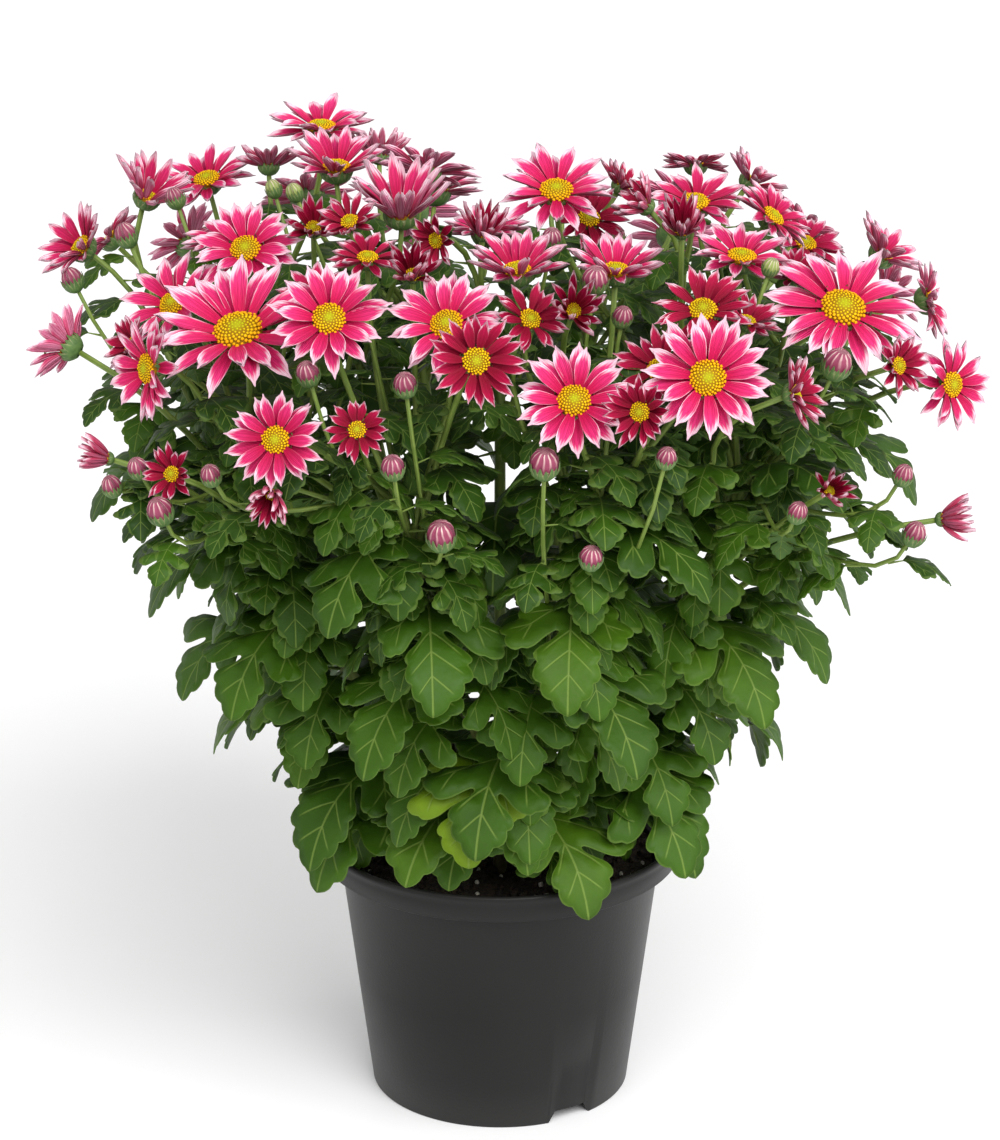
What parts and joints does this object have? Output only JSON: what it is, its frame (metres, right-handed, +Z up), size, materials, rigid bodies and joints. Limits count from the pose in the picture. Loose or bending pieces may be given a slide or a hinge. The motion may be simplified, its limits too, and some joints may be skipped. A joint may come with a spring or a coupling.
{
  "type": "potted chrysanthemum",
  "caption": "Potted chrysanthemum: a dome of daisy-like pink and white blooms with yellow discs over lobed green leaves, in a round plastic nursery pot.",
  "frame": {"origin": "where the pot's axis meets the surface that its foot ring rests on", "axes": "+Z up along the pot's axis, -Y towards the front of the plant, +X to its right"},
  "size_m": [0.3403, 0.3173, 0.3742],
  "materials": {
    "pot_plastic": "satin black injection-moulded plastic, paler along the lip",
    "potting_soil": "dark crumbly potting mix with white perlite grains",
    "foliage": "satin mid-green leaf with pale veins, and green ribbed stems",
    "petals": "soft magenta-pink petals with white edges round a golden disc"
  },
  "bodies": {
    "root": {"pot": "pot_plastic", "soil": "potting_soil", "leafy_stem_1": "foliage", "leafy_stem_2": "foliage", "leafy_stem_3": "foliage", "leafy_stem_4": "foliage", "leafy_stem_5": "foliage", "bloom_01": "petals", "bloom_02": "petals", "bloom_03": "petals", "bloom_04": "petals", "bloom_05": "petals", "bloom_06": "petals", "bloom_07": "petals", "bloom_08": "petals", "bloom_09": "petals", "bloom_10": "petals", "bloom_11": "petals", "bloom_12": "petals", "bloom_13": "petals", "bloom_14": "petals", "bloom_15": "petals", "bloom_16": "petals", "bloom_17": "petals", "bloom_18": "petals", "bloom_19": "petals", "bloom_20": "petals", "bloom_21": "petals", "bloom_22": "petals", "bloom_23": "petals", "bloom_24": "petals", "bloom_25": "petals", "bloom_26": "petals", "bloom_27": "petals", "bloom_28": "petals", "bloom_29": "petals", "bloom_30": "petals", "bloom_31": "petals", "bloom_32": "petals", "bloom_33": "petals", "bloom_34": "petals", "bloom_35": "petals", "bloom_36": "petals", "bloom_37": "petals", "bloom_38": "petals", "bloom_39": "petals", "bloom_40": "petals", "bloom_41": "petals", "bloom_42": "petals", "bloom_43": "petals", "bloom_44": "petals", "bloom_45": "petals", "bloom_46": "petals", "bloom_47": "petals", "bloom_48": "petals", "bloom_49": "petals", "bloom_50": "petals", "bloom_51": "petals", "bloom_52": "petals", "bloom_53": "petals"}
  },
  "joints": []
}
